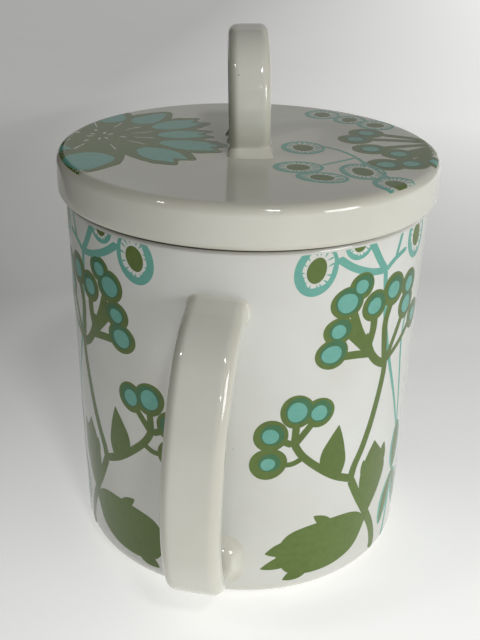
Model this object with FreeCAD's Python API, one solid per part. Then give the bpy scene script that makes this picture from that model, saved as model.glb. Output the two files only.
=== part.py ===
import FreeCAD, Part
import math
import os

# Butter crock: a lidded ceramic pot with a strap handle on its side and a strap ring on its lid.
# Millimetres, +Z up. The origin is the centre of the face that the foot ring stands on.
# The side handle points along -Y. Bodies: the crock (body and handle) and the lid (lid and loop).

Vector = FreeCAD.Vector

# --- Crock ----------------------------------------------------------------------------------------
crock_height = 121.4        # table to the top of the rim, where the lid seats
mouth_radius = 57.6         # outside of the wall, carried up to the rim
base_radius = 54.4          # outside of the wall, carried down to its underside
wall = 4.8
floor_thickness = 6.0
base_corner = 6.0           # rounding between the wall and its underside
inside_corner = 9.0         # rounding between the wall and the floor inside
rim_round = 1.8
foot_radius = 46.5          # outside of the foot ring
foot_width = 4.5
foot_height = 1.2           # underside of the wall above the table
recess_height = 2.2         # underside of the floor above the table, inside the foot ring
foot_round = 0.5

# --- Lid ------------------------------------------------------------------------------------------
lid_radius = 60.0
lid_height = 13.3           # seat to the flat top
lid_plate = 6.0             # thickness of the plate over the hollow underside
lid_top_round = 3.0
lid_seat_round = 2.2
flange_depth = 7.0          # how far the locating flange hangs into the mouth
flange_wall = 4.2
flange_round = 1.4
hollow_corner = 3.0
mouth_clearance = 0.9       # radial gap between the flange and the inside of the mouth
lid_turn = 11.5             # degrees that the lid is turned from the handle, as it rests

# --- Lid loop, a strap bent into a standing ring ----------------------------------------------------
loop_radius = 19.5          # outside of the ring
loop_strap = 6.2            # thickness of its strap
loop_width = 12.2
loop_corner = 2.6
loop_sink = 2.0             # how far the full circle would reach below the lid's top
loop_fillet = 1.5           # slip that fills the wedge at each side of the ring's foot
loop_lean = 1.5             # degrees that the ring leans sideways, having been set on by hand

# --- Side handle, a strap bent into an ear ----------------------------------------------------------
handle_top = 106.5          # upper face of the strap where it leaves the wall
handle_bottom = 12.0        # lower face of the strap where it comes back to the wall
handle_reach = 30.0         # outermost face of the strap, beyond the mouth radius
handle_strap = 7.6
handle_width = 17.2
handle_corner = 3.1
handle_fillet = 2.0         # slip worked round each end
handle_upper_bend = 22.0    # radii of the strap's middle line
handle_side_bend = 66.0
handle_lower_bend = 18.0
handle_lean = 2.0           # degrees that the ear leans from upright, having been set on by hand


def rounded_outline(corners):
    """Closed wire in the XZ plane through (x, z, rounding) corners, each rounded by its tangent arc."""
    points = [Vector(x, 0, z) for x, z, rounding in corners]
    count = len(points)
    arrivals, departures, arcs = [], [], []
    for i, (x, z, rounding) in enumerate(corners):
        back = points[i - 1] - points[i]
        ahead = points[(i + 1) % count] - points[i]
        back.normalize()
        ahead.normalize()
        half_angle = back.getAngle(ahead) / 2
        inset = rounding / math.tan(half_angle)
        arrivals.append(points[i] + back * inset)
        departures.append(points[i] + ahead * inset)
        if rounding > 0:
            inward = (back + ahead).normalize()
            middle = points[i] + inward * (rounding / math.sin(half_angle) - rounding)
            arcs.append([Part.Arc(arrivals[i], middle, departures[i]).toShape()])
        else:
            arcs.append([])
    edges = []
    for i in range(count):
        edges += arcs[i]
        edges.append(Part.LineSegment(departures[i], arrivals[(i + 1) % count]).toShape())
    return Part.Wire(edges)


def turned(corners):
    """Solid of revolution about Z from rounded corners given as (radius, height, rounding)."""
    return Part.Face(rounded_outline(corners)).revolve(Vector(0, 0, 0), Vector(0, 0, 1), 360)


def strap_section(width, thickness, corner):
    """Rounded cross-section of a strap, width along X and thickness along Z, about the origin."""
    half_width, half_thickness = width / 2, thickness / 2
    return rounded_outline([
        (-half_width, -half_thickness, corner),
        (half_width, -half_thickness, corner),
        (half_width, half_thickness, corner),
        (-half_width, half_thickness, corner),
    ])


def wall_radius(height):
    """Outside radius of the crock's tapered wall at a height."""
    share = (height - foot_height) / (crock_height - foot_height)
    return base_radius + (mouth_radius - base_radius) * share


floor_top = recess_height + floor_thickness
mouth_bore = mouth_radius - wall
lid_top = crock_height + lid_height


def make_crock_body():
    """Tapered wall, floor and foot ring, turned as one piece."""
    foot_bore = foot_radius - foot_width
    floor_bore = wall_radius(floor_top) - wall
    return turned([
        (0, floor_top, 0),
        (0, recess_height, 0),
        (foot_bore, recess_height, foot_round),
        (foot_bore, 0, foot_round),
        (foot_radius, 0, foot_round),
        (foot_radius, foot_height, foot_round),
        (base_radius, foot_height, base_corner),
        (mouth_radius, crock_height, rim_round),
        (mouth_bore, crock_height, rim_round),
        (floor_bore, floor_top, inside_corner),
    ])


def make_crock_envelope():
    """The crock's outside filled in, which the handle's ends are fitted to."""
    return turned([
        (0, foot_height, 0),
        (base_radius, foot_height, base_corner),
        (mouth_radius, crock_height, 0),
        (0, crock_height, 0),
    ])


def make_lid():
    """Flat top, thick rim that seats on the crock, and a flange that hangs into the mouth."""
    flange_radius = mouth_bore - mouth_clearance
    hollow_radius = flange_radius - flange_wall
    return turned([
        (0, lid_top - lid_plate, 0),
        (hollow_radius, lid_top - lid_plate, hollow_corner),
        (hollow_radius, crock_height - flange_depth, flange_round),
        (flange_radius, crock_height - flange_depth, flange_round),
        (flange_radius, crock_height, 0),
        (lid_radius, crock_height, lid_seat_round),
        (lid_radius, lid_top, lid_top_round),
        (0, lid_top, 0),
    ])


def make_lid_loop():
    """Strap ring standing on the lid, cut off flat at the lid's top, with its foot filled out by slip."""
    centre = Vector(0, 0, lid_top + loop_radius - loop_sink)
    section = strap_section(loop_width, loop_strap, loop_corner)
    section.translate(centre + Vector(0, 0, loop_radius - loop_strap / 2))
    ring = Part.Face(section).revolve(centre, Vector(1, 0, 0), 360)
    finger_hole = Part.makeCylinder(loop_radius - loop_strap, loop_width,
                                    centre - Vector(loop_width / 2, 0, 0), Vector(1, 0, 0))
    for shape in (ring, finger_hole):
        shape.rotate(Vector(0, 0, lid_top), Vector(0, 1, 0), -loop_lean)
    below_lid_top = Part.makeBox(4 * loop_radius, 4 * loop_radius, lid_top,
                                 Vector(-2 * loop_radius, -2 * loop_radius, 0))
    foot = make_loop_foot(centre).cut(finger_hole)
    loop = ring.cut(below_lid_top).fuse(foot).removeSplitter()
    loop.rotate(Vector(0, 0, 0), Vector(0, 0, 1), lid_turn)
    return loop


def make_loop_foot(ring_centre):
    """Slip under the ring: concave arcs tangent to the lid's top and to the ring's outside."""
    rise = ring_centre.z - lid_top - loop_fillet
    span = math.sqrt((loop_radius + loop_fillet) ** 2 - rise ** 2)
    share = loop_radius / (loop_radius + loop_fillet)
    edges = []
    for side in (-1, 1):
        arc_centre = Vector(0, side * span, lid_top + loop_fillet)
        on_lid = Vector(0, side * span, lid_top)
        on_ring = ring_centre + (arc_centre - ring_centre) * share
        inward = ((on_lid - arc_centre) + (on_ring - arc_centre)).normalize()
        edges.append(Part.Arc(on_lid, arc_centre + inward * loop_fillet, on_ring).toShape())
    (left_foot, left_top), (right_foot, right_top) = [
        (edge.valueAt(edge.FirstParameter), edge.valueAt(edge.LastParameter)) for edge in edges]
    edges.append(Part.LineSegment(left_top, right_top).toShape())
    edges.append(Part.LineSegment(left_foot, right_foot).toShape())
    outline = Part.Face(Part.Wire(Part.__sortEdges__(edges)))
    outline.translate(Vector(-loop_width / 2, 0, 0))
    return outline.extrude(Vector(loop_width, 0, 0))


def handle_path():
    """Middle line of the handle's strap: out of the wall, three tangent arcs, and back to the wall."""
    top = handle_top - handle_strap / 2
    bottom = handle_bottom + handle_strap / 2
    reach = mouth_radius + handle_reach - handle_strap / 2
    upper_gain = handle_side_bend - handle_upper_bend
    lower_gain = handle_side_bend - handle_lower_bend
    # The side arc's ends leave its horizontal by equal angles, so that the heights close.
    sweep = math.asin((top - bottom - handle_upper_bend - handle_lower_bend) / (upper_gain + lower_gain))
    side_centre = (reach - handle_side_bend, top - handle_upper_bend - upper_gain * math.sin(sweep))
    upper_centre = (side_centre[0] + upper_gain * math.cos(sweep), top - handle_upper_bend)
    lower_centre = (side_centre[0] + lower_gain * math.cos(sweep), bottom + handle_lower_bend)

    def on_arc(centre, radius, angle):
        return Vector(0, -(centre[0] + radius * math.cos(angle)), centre[1] + radius * math.sin(angle))

    def arc(centre, radius, first, last):
        angles = (first, (first + last) / 2, last)
        return Part.Arc(*[on_arc(centre, radius, angle) for angle in angles]).toShape()

    quarter = math.pi / 2
    root = mouth_radius - 2 * wall
    start = Vector(0, -root, top)
    end = Vector(0, -root, bottom)
    return Part.Wire([
        Part.LineSegment(start, on_arc(upper_centre, handle_upper_bend, quarter)).toShape(),
        arc(upper_centre, handle_upper_bend, quarter, sweep),
        arc(side_centre, handle_side_bend, sweep, -sweep),
        arc(lower_centre, handle_lower_bend, -sweep, -quarter),
        Part.LineSegment(on_arc(lower_centre, handle_lower_bend, -quarter), end).toShape(),
    ])


def make_side_handle():
    """Strap carried along its path, its ends fitted to the wall."""
    path = handle_path()
    section = strap_section(handle_width, handle_strap, handle_corner)
    section.translate(path.Vertexes[0].Point)
    strap = path.makePipeShell([section], True, True)
    strap.rotate(Vector(0, 0, (handle_top + handle_bottom) / 2), Vector(0, 1, 0), handle_lean)
    envelope = make_crock_envelope()

    def at_wall(edge):
        centre = edge.CenterOfMass
        radius = math.hypot(centre.x, centre.y)
        inside = abs(radius - wall_radius(centre.z)) < 1.0 and abs(centre.x) < handle_width
        return inside and centre.y < 0 and 1.0 < edge.Length < 2 * handle_width

    joined = strap.fuse(envelope).removeSplitter()
    feet = [edge for edge in joined.Edges if at_wall(edge)]
    return joined.makeFillet(handle_fillet, feet).cut(envelope)


nodes = {
    "crock_body": make_crock_body(),
    "side_handle": make_side_handle(),
    "lid": make_lid(),
    "lid_loop": make_lid_loop(),
}

os.makedirs("parts", exist_ok=True)
for name, shape in nodes.items():
    solids = shape.Solids
    box = shape.optimalBoundingBox(False)
    size = f"{box.XLength:.1f} x {box.YLength:.1f} x {box.ZLength:.1f} mm from z {box.ZMin:.2f}"
    print(f"{name}: {len(solids)} solid, {shape.Volume / 1000:.1f} cm3, valid {shape.isValid()}, {size}")
    shape.exportStep(f"parts/{name}.step")
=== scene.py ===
"""Butter crock: a glazed stoneware pot with a strap handle, a lid with a standing loop, and a print.

Lengths are in millimetres in the row frame (+Z up, the side handle towards -Y) and become metres where a
mesh is made. The print is thin ink under the glaze, kept as closed sheets a few hundredths of a
millimetre proud of it, one piece for each ink on each body.
"""

import logging
import math
from dataclasses import dataclass
from enum import Enum
from typing import Callable

import bpy
import numpy as np
from mathutils import Matrix, Vector


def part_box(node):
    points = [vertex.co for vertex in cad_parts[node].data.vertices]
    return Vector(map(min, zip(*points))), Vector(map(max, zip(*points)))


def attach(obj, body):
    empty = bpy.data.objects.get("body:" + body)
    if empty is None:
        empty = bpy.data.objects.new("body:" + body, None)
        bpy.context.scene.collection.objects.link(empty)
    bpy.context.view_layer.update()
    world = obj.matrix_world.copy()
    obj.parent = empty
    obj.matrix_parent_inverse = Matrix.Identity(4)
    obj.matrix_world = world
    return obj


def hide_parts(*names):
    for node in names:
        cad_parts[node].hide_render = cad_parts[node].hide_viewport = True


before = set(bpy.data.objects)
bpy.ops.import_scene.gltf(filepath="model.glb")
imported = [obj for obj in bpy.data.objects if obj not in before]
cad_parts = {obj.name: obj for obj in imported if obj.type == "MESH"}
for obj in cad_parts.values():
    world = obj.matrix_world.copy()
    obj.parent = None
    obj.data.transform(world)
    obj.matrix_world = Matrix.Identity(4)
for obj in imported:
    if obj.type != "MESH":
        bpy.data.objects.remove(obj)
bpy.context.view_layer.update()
MM = 0.001
FADE_RADIUS = 20.0             # unevenness dies away inside this distance from the axis
WIPED_AND_SHADED = 2.0                    # value of the attribute "thin" where the glaze was wiped off and the clay is painted dark: partly wear, partly painted shade in the joint between lid and pot
CORNER_POINTS, SIDE_STEPS = 8, 14      # of a strap's section: points on each corner, steps along each side
log = logging.getLogger("butter_crock")


def top_of(node: str) -> float:
    """Height of a CAD node's highest point, in millimetres."""
    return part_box(node)[1].z / MM


# --- Meshes ---------------------------------------------------------------------------------------


def grid_quads(rows: int, columns: int, wrap_rows: bool = False, wrap_columns: bool = False) -> np.ndarray:
    """Quads of a grid whose points run row by row.

    Args:
        rows: number of rows of points.
        columns: number of points in a row.
        wrap_rows: joins the last row to the first.
        wrap_columns: joins the last column to the first.

    Returns:
        An (n, 4) array of point numbers.
    """
    index = np.arange(rows * columns).reshape(rows, columns)
    if wrap_rows:
        index = np.vstack([index, index[:1]])
    if wrap_columns:
        index = np.hstack([index, index[:, :1]])
    corners = [index[:-1, :-1], index[:-1, 1:], index[1:, 1:], index[1:, :-1]]
    return np.stack(corners, axis=-1).reshape(-1, 4)


def fan(pole: int, ring: np.ndarray) -> np.ndarray:
    """Triangles from one point to each step round a closed ring of point numbers."""
    return np.stack([np.full(len(ring), pole), ring, np.roll(ring, -1)], axis=-1)


def no_triangles() -> np.ndarray:
    """An empty list of triangles."""
    return np.empty((0, 3), int)


def signed_volume(points: np.ndarray, quads: np.ndarray, triangles: np.ndarray) -> float:
    """Volume inside closed faces: a sixth of each triangle's triple product, added up.

    Args:
        points: (n, 3) points.
        quads: (m, 4) point numbers.
        triangles: (k, 3) point numbers.

    Returns:
        The volume, positive where the faces point outwards.
    """
    halves = np.vstack([quads[:, :3], quads[:, [0, 2, 3]], triangles])
    a, b, c = (points[halves[:, corner]] for corner in range(3))
    return float(np.einsum("ij,ij->", a, np.cross(b, c)) / 6)


class Shell:
    """Gathers closed surfaces in millimetres and makes them one mesh object at the origin."""

    def __init__(self, name: str) -> None:
        """Starts an empty shell for a piece of that name."""
        self.name = name
        self.points: list[np.ndarray] = []
        self.thin: list[np.ndarray] = []
        self.quads: list[np.ndarray] = []
        self.triangles: list[np.ndarray] = []
        self.count = 0

    def closed(self, points: np.ndarray, quads: np.ndarray, triangles: np.ndarray,
               thin: np.ndarray | float = 0.0) -> None:
        """Adds one closed surface, turned so that its faces point outwards.

        Args:
            points: (n, 3) points in millimetres.
            quads: (m, 4) point numbers.
            triangles: (k, 3) point numbers.
            thin: how thin the glaze is at each point, from 0 to 1.
        """
        if signed_volume(points - points.mean(axis=0), quads, triangles) < 0:
            quads, triangles = quads[:, ::-1], triangles[:, ::-1]
        self.points.append(points)
        self.thin.append(np.broadcast_to(np.asarray(thin, float), (len(points),)))
        self.quads.append(quads + self.count)
        self.triangles.append(triangles + self.count)
        self.count += len(points)

    def capped(self, rings: np.ndarray, poles: np.ndarray, thin: np.ndarray) -> None:
        """Adds closed rings joined one to the next, with each end closed by a fan to its pole.

        Args:
            rings: (rows, columns, 3) points in millimetres.
            poles: the two end points.
            thin: how thin the glaze is at each of the rings' points.
        """
        rows, columns = rings.shape[:2]
        first = np.arange(columns)
        last = first + (rows - 1) * columns
        triangles = np.vstack([fan(rows * columns, first[::-1]), fan(rows * columns + 1, last)])
        points = np.vstack([rings.reshape(-1, 3), poles])
        marks = np.concatenate([thin.reshape(-1), [0, 0]])
        self.closed(points, grid_quads(rows, columns, wrap_columns=True), triangles, marks)

    def plate(self, top: np.ndarray, bottom: np.ndarray, quads: np.ndarray) -> None:
        """Adds a thin closed sheet: the quads on top, the same ones below, and a skirt round each open edge.

        An edge is open if no neighbouring quad runs along it the other way.

        Args:
            top: (n, 3) points of the upper side.
            bottom: (n, 3) points of the lower side, in the same order.
            quads: (m, 4) point numbers of the upper side.
        """
        total = len(top)
        starts = quads.reshape(-1)
        ends = np.roll(quads, -1, axis=1).reshape(-1)
        is_open = ~np.isin(starts * total + ends, ends * total + starts)
        starts, ends = starts[is_open], ends[is_open]
        skirt = np.stack([ends, starts, starts + total, ends + total], axis=-1)
        everything = np.vstack([quads, quads[:, ::-1] + total, skirt])
        used, renumbered = np.unique(everything, return_inverse=True)
        points = np.vstack([top, bottom])[used]
        self.closed(points, renumbered.reshape(everything.shape), no_triangles())

    def object(self, sharp_angle: float = 35.0) -> bpy.types.Object:
        """Makes the mesh object.

        Args:
            sharp_angle: edges that turn by more than this many degrees are shaded sharp.

        Returns:
            The object, at the origin, with the glaze's thinness in the point attribute "thin".
        """
        quads, triangles = np.vstack(self.quads), np.vstack(self.triangles)
        corners = np.concatenate([quads.reshape(-1), triangles.reshape(-1)]).astype(np.int32)
        sizes = np.concatenate([np.full(len(quads), 4), np.full(len(triangles), 3)])
        starts = np.concatenate([[0], np.cumsum(sizes)[:-1]]).astype(np.int32)
        mesh = bpy.data.meshes.new(self.name)
        mesh.vertices.add(self.count)
        mesh.vertices.foreach_set("co", (np.vstack(self.points) * MM).astype(np.float32).reshape(-1))
        mesh.loops.add(len(corners))
        mesh.loops.foreach_set("vertex_index", corners)
        mesh.polygons.add(len(sizes))
        mesh.polygons.foreach_set("loop_start", starts)
        mesh.update(calc_edges=True)
        mesh.validate()
        mesh.polygons.foreach_set("use_smooth", np.ones(len(mesh.polygons), bool))
        thin = mesh.attributes.new("thin", "FLOAT", "POINT")
        thin.data.foreach_set("value", np.concatenate(self.thin).astype(np.float32))
        mesh.set_sharp_from_angle(angle=math.radians(sharp_angle))
        piece = bpy.data.objects.new(self.name, mesh)
        bpy.context.scene.collection.objects.link(piece)
        return piece


def settle(piece: bpy.types.Object, body: str, slot: str, *nodes: str) -> None:
    """Puts a finished piece on its CAD body, hides the CAD nodes that it stands for, and logs it.

    Args:
        piece: the finished object.
        body: the CAD body that it rides on.
        slot: not used.
        nodes: CAD nodes that it replaces, if any.
    """
    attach(piece, body)
    if nodes:
        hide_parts(*nodes)
    log.info("%s: %d faces, rides on %s", piece.name, len(piece.data.polygons), body)


def rounded_profile(corners: list[tuple[float, float, float]], run: float) -> tuple[np.ndarray, np.ndarray]:
    """Open profile through (radius, height, rounding) corners.

    A rounding is the arc tangent to both sides of its corner, so it starts rounding / tan(half the
    corner's angle) from it. The arc's points are the circular blend of its two end radii, about one
    for each nine degrees, and straight stretches are divided into steps of about run.

    Args:
        corners: the corners in order; the first and last have no rounding.
        run: longest step along a straight stretch.

    Returns:
        (n, 2) points, and for each how far it lies round a rounding (1 in its middle, 0 elsewhere).
    """
    spots = np.array([corner[:2] for corner in corners], float)
    points, thin = [spots[:1]], [np.zeros(1)]
    for before, here, after, (_, _, rounding) in zip(spots, spots[1:], spots[2:], corners[1:]):
        if rounding == 0:
            points.append(here[None])
            thin.append(np.zeros(1))
            continue
        back = (before - here) / np.linalg.norm(before - here)
        ahead = (after - here) / np.linalg.norm(after - here)
        opening = math.acos(float(np.clip(back @ ahead, -1, 1)))
        inset = rounding / math.tan(opening / 2)
        middle = (back + ahead) / np.linalg.norm(back + ahead)
        centre = here + middle * rounding / math.sin(opening / 2)
        first, last = here + back * inset - centre, here + ahead * inset - centre
        sweep = math.pi - opening
        share = np.linspace(0, 1, max(4, math.ceil(sweep / math.radians(9))) + 1)[:, None]
        arc = (np.sin((1 - share) * sweep) * first + np.sin(share * sweep) * last) / math.sin(sweep)
        points.append(centre + arc)
        thin.append(np.sin(share[:, 0] * math.pi))
    points.append(spots[-1:])
    thin.append(np.zeros(1))
    line, marks = np.vstack(points), np.concatenate(thin)
    counts = np.maximum(1, np.ceil(np.linalg.norm(np.diff(line, axis=0), axis=1) / run)).astype(int)
    steps = [i + np.arange(count) / count for i, count in enumerate(counts)]
    position = np.concatenate(steps + [[len(counts)]])
    index = np.arange(len(line))
    divided = np.stack([np.interp(position, index, line[:, axis]) for axis in range(2)], axis=-1)
    return divided, np.interp(position, index, marks)


def turned(shell: Shell, profile: np.ndarray, thin: np.ndarray, steps: int,
           uneven: Callable[[np.ndarray, np.ndarray], np.ndarray]) -> None:
    """Adds a surface of revolution about Z: x = radius * sin(angle), y = -radius * cos(angle).

    Args:
        shell: where it is added.
        profile: (n, 2) radius and height, from one point on the axis to another.
        thin: thinness of the glaze along the profile.
        steps: steps round the axis.
        uneven: gives the small change of radius at an angle and height.
    """
    angle = np.linspace(0, 2 * math.pi, steps, endpoint=False)[None, :]
    radius, height = profile[1:-1, :1], profile[1:-1, 1:]
    radius = radius + uneven(angle, height) * np.clip(radius / FADE_RADIUS, 0, 1)
    rings = np.stack([radius * np.sin(angle), -radius * np.cos(angle), height + 0 * angle], axis=-1)
    poles = np.array([[0, 0, profile[0, 1]], [0, 0, profile[-1, 1]]])
    shell.capped(rings, poles, np.repeat(thin[1:-1], steps))


def strap_section(half_width: np.ndarray, inner: np.ndarray, outer: np.ndarray,
                  corner: np.ndarray) -> tuple[np.ndarray, np.ndarray, np.ndarray]:
    """Rounded rectangles, one for each station of a strap, as whole arrays.

    Each corner is a quarter circle, (centre + corner * cos, centre + corner * sin), and each side is a
    straight blend between the ends of its two corners.

    Args:
        half_width: half the strap's width at each station.
        inner: height of the strap's inner face at each station.
        outer: height of its outer face.
        corner: rounding of its edges.

    Returns:
        Across and up coordinates, each (stations, points), and 1 at the points in the middle of a corner.
    """
    half_width, inner, outer, corner = (np.atleast_1d(value).astype(float)[:, None] for value in
                                        np.broadcast_arrays(half_width, inner, outer, corner))
    quarter = np.linspace(0, math.pi / 2, CORNER_POINTS)[None, :]
    across, up = [], []
    for side, level, face, start in ((1, 1, outer, 0.0), (-1, 1, outer, math.pi / 2),
                                     (-1, -1, inner, math.pi), (1, -1, inner, 3 * math.pi / 2)):
        across.append(side * (half_width - corner) + corner * np.cos(start + quarter))
        up.append(face - level * corner + corner * np.sin(start + quarter))
    share = np.linspace(0, 1, SIDE_STEPS + 1)[None, 1:-1]
    loop_across, loop_up = [], []
    for this, following in ((0, 1), (1, 2), (2, 3), (3, 0)):
        loop_across += [across[this], across[this][:, -1:] * (1 - share) + across[following][:, :1] * share]
        loop_up += [up[this], up[this][:, -1:] * (1 - share) + up[following][:, :1] * share]
    thin = np.tile(np.concatenate([np.sin(2 * quarter[0]), 0 * share[0]]), 4)
    return np.hstack(loop_across), np.hstack(loop_up), thin


def concave(distance: np.ndarray, radius: float) -> np.ndarray:
    """Swell of a fillet at a distance from the face it runs into: radius - sqrt(radius^2 - depth^2)."""
    depth = radius - np.clip(distance, 0, radius)
    return radius - np.sqrt(np.maximum(radius ** 2 - depth ** 2, 0))


# --- Nodes and finishes -----------------------------------------------------------------------------


def linear(colour: str) -> tuple[float, float, float, float]:
    """An sRGB hex colour, such as "#C8C9C2", as linear red, green, blue and an alpha of 1."""
    parts = [int(colour[i:i + 2], 16) / 255 for i in (1, 3, 5)]
    red, green, blue = (p / 12.92 if p <= 0.04045 else ((p + 0.055) / 1.055) ** 2.4 for p in parts)
    return red, green, blue, 1.0


def per_metre(size: float) -> float:
    """Texture scale that makes a pattern's features about that many millimetres across."""
    return 1 / (size * MM)


def add_node(tree: bpy.types.NodeTree, kind: str, settings: dict | None = None,
             links: dict | None = None) -> bpy.types.Node:
    """Adds a node.

    Args:
        tree: the node tree.
        kind: the node's type.
        settings: values by property name, input name or input number.
        links: sockets that feed inputs, by input name or number.

    Returns:
        The node.
    """
    node = tree.nodes.new(kind)
    for key, value in (settings or {}).items():
        if isinstance(key, str) and hasattr(node, key):
            setattr(node, key, value)
        else:
            node.inputs[key].default_value = value
    for key, socket in (links or {}).items():
        tree.links.new(socket, node.inputs[key])
    return node


@dataclass(frozen=True)
class GlossyGlaze:
    """The clear glaze's own surface, the same over plain ware and over print.

    It is dipped and fired, so it is glossy (refractive index about 1.5) and its surface rolls gently
    like orange peel, with a pinhole here and there where a bubble burst.
    """

    ripple: float = 11.0           # millimetres from crest to crest
    ripple_depth: float = 0.012
    peel: float = 1.6
    peel_depth: float = 0.0009
    pinhole_spacing: float = 9.0
    pinhole_radius: float = 0.30
    pinhole_depth: float = 0.05
    pinhole_core: float = 0.4      # share of a pinhole's radius that is at full depth
    rarest: float = 0.55           # cells whose random tone is above this have a pinhole
    gloss_patch: float = 24.0
    smoothest: float = 0.045
    dullest: float = 0.11
    index: float = 1.5

    def pinholes(self, tree: bpy.types.NodeTree, place: bpy.types.NodeSocket) -> bpy.types.NodeSocket:
        """Mask, 1 in the middle of a pinhole: the near points of about a third of a Voronoi's cells."""
        cells = add_node(tree, "ShaderNodeTexVoronoi", {"Scale": per_metre(self.pinhole_spacing)},
                         {"Vector": place})
        edge = self.pinhole_radius / self.pinhole_spacing
        near = add_node(tree, "ShaderNodeMapRange", {1: edge, 2: edge * self.pinhole_core, 3: 0.0, 4: 1.0},
                        {0: cells.outputs["Distance"]})
        chosen = add_node(tree, "ShaderNodeMath", {"operation": "GREATER_THAN", 1: self.rarest},
                          {0: cells.outputs["Color"]})
        return add_node(tree, "ShaderNodeMath", {"operation": "MULTIPLY"},
                        {0: near.outputs[0], 1: chosen.outputs[0]}).outputs[0]

    def finish(self, material: bpy.types.Material, colour: bpy.types.NodeSocket,
               place: bpy.types.NodeSocket, pinholes: bpy.types.NodeSocket) -> bpy.types.Material:
        """Adds the shader, its gloss and its relief.

        Args:
            material: the material whose tree is finished.
            colour: the colour under the glaze.
            place: object coordinates.
            pinholes: the pinhole mask.

        Returns:
            The material.
        """
        tree = material.node_tree
        patches = add_node(tree, "ShaderNodeTexNoise", {"Scale": per_metre(self.gloss_patch), "Detail": 4.0},
                           {"Vector": place})
        gloss = add_node(tree, "ShaderNodeMapRange", {1: 0.3, 2: 0.7, 3: self.smoothest, 4: self.dullest},
                         {0: patches.outputs[0]})
        ripple = add_node(tree, "ShaderNodeTexNoise", {"Scale": per_metre(self.ripple), "Detail": 1.0},
                          {"Vector": place})
        peel = add_node(tree, "ShaderNodeTexNoise", {"Scale": per_metre(self.peel), "Detail": 1.0},
                        {"Vector": place})
        rolling = add_node(tree, "ShaderNodeBump", {"Strength": 1.0, "Distance": self.ripple_depth * MM},
                           {"Height": ripple.outputs[0]})
        peeled = add_node(tree, "ShaderNodeBump", {"Strength": 1.0, "Distance": self.peel_depth * MM},
                          {"Height": peel.outputs[0], "Normal": rolling.outputs[0]})
        pitted = add_node(tree, "ShaderNodeBump",
                          {"Strength": 1.0, "Distance": self.pinhole_depth * MM, "invert": True},
                          {"Height": pinholes, "Normal": peeled.outputs[0]})
        shader = add_node(tree, "ShaderNodeBsdfPrincipled", {"IOR": self.index, "Metallic": 0.0},
                          {"Base Color": colour, "Roughness": gloss.outputs[0], "Normal": pitted.outputs[0]})
        add_node(tree, "ShaderNodeOutputMaterial", links={"Surface": shader.outputs[0]})
        return material


def new_material(name: str) -> tuple[bpy.types.Material, bpy.types.NodeSocket]:
    """An empty node material and its object coordinates, in metres."""
    material = bpy.data.materials.new(name)
    material.use_nodes = True
    material.node_tree.nodes.clear()
    return material, add_node(material.node_tree, "ShaderNodeTexCoord").outputs["Object"]


@dataclass(frozen=True)
class WhiteGlaze:
    """White stoneware glaze, dipped: off-white, clouded a little, buff where it runs thin over an edge.

    Where the attribute "thin" reaches its seat value the glaze was wiped off so that the lid would not stick,
    and
    the clay there is painted dark grey: partly grey from use, partly painted shade in the joint between lid
    and pot.
    """

    name: str = "white_glaze"
    white: str = "#DCDDD8"
    cloud: str = "#D4D4CC"
    buff: str = "#BDB69F"
    speck: str = "#6E6A5C"
    worn_and_shaded: str = "#4F4A3E"
    # dark grey of the wiped seat: partly wear, partly painted shade in the joint between lid and pot
    cloud_size: float = 38.0
    thinness: float = 0.30
    surface: GlossyGlaze = GlossyGlaze()

    def material(self) -> bpy.types.Material:
        """Clouds of the two whites, buff over thin edges, a dark seat that is partly wear and partly painted
        shade, and a dark fleck in each pinhole.
        """
        material, place = new_material(self.name)
        tree = material.node_tree
        clouds = add_node(tree, "ShaderNodeTexNoise", {"Scale": per_metre(self.cloud_size), "Detail": 3.0},
                          {"Vector": place})
        spread = add_node(tree, "ShaderNodeMapRange", {1: 0.35, 2: 0.65, 3: 0.0, 4: 1.0},
                          {0: clouds.outputs[0]})
        ground = add_node(tree, "ShaderNodeMix",
                          {"data_type": "RGBA", 6: linear(self.white), 7: linear(self.cloud)},
                          {0: spread.outputs[0]})
        thin = add_node(tree, "ShaderNodeAttribute", {"attribute_name": "thin"})
        share = add_node(tree, "ShaderNodeMapRange", {1: 0.0, 2: 1.0, 3: 0.0, 4: self.thinness},
                         {0: thin.outputs["Fac"]})
        edged = add_node(tree, "ShaderNodeMix", {"data_type": "RGBA", 7: linear(self.buff)},
                         {0: share.outputs[0], 6: ground.outputs[2]})
        # where the seat mark is reached the dark colour is mixed in: partly wear, partly painted shade in the
        # joint
        seat = add_node(tree, "ShaderNodeMapRange", {1: 0.6 * WIPED_AND_SHADED, 2: WIPED_AND_SHADED, 3: 0.0, 4: 1.0},
                        {0: thin.outputs["Fac"]})
        worn_and_shaded = add_node(tree, "ShaderNodeMix", {"data_type": "RGBA", 7: linear(self.worn_and_shaded)},
                        {0: seat.outputs[0], 6: edged.outputs[2]})
        pinholes = self.surface.pinholes(tree, place)
        flecked = add_node(tree, "ShaderNodeMix", {"data_type": "RGBA", 7: linear(self.speck)},
                           {0: pinholes, 6: worn_and_shaded.outputs[2]})
        return self.surface.finish(material, flecked.outputs[2], place, pinholes)


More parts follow.
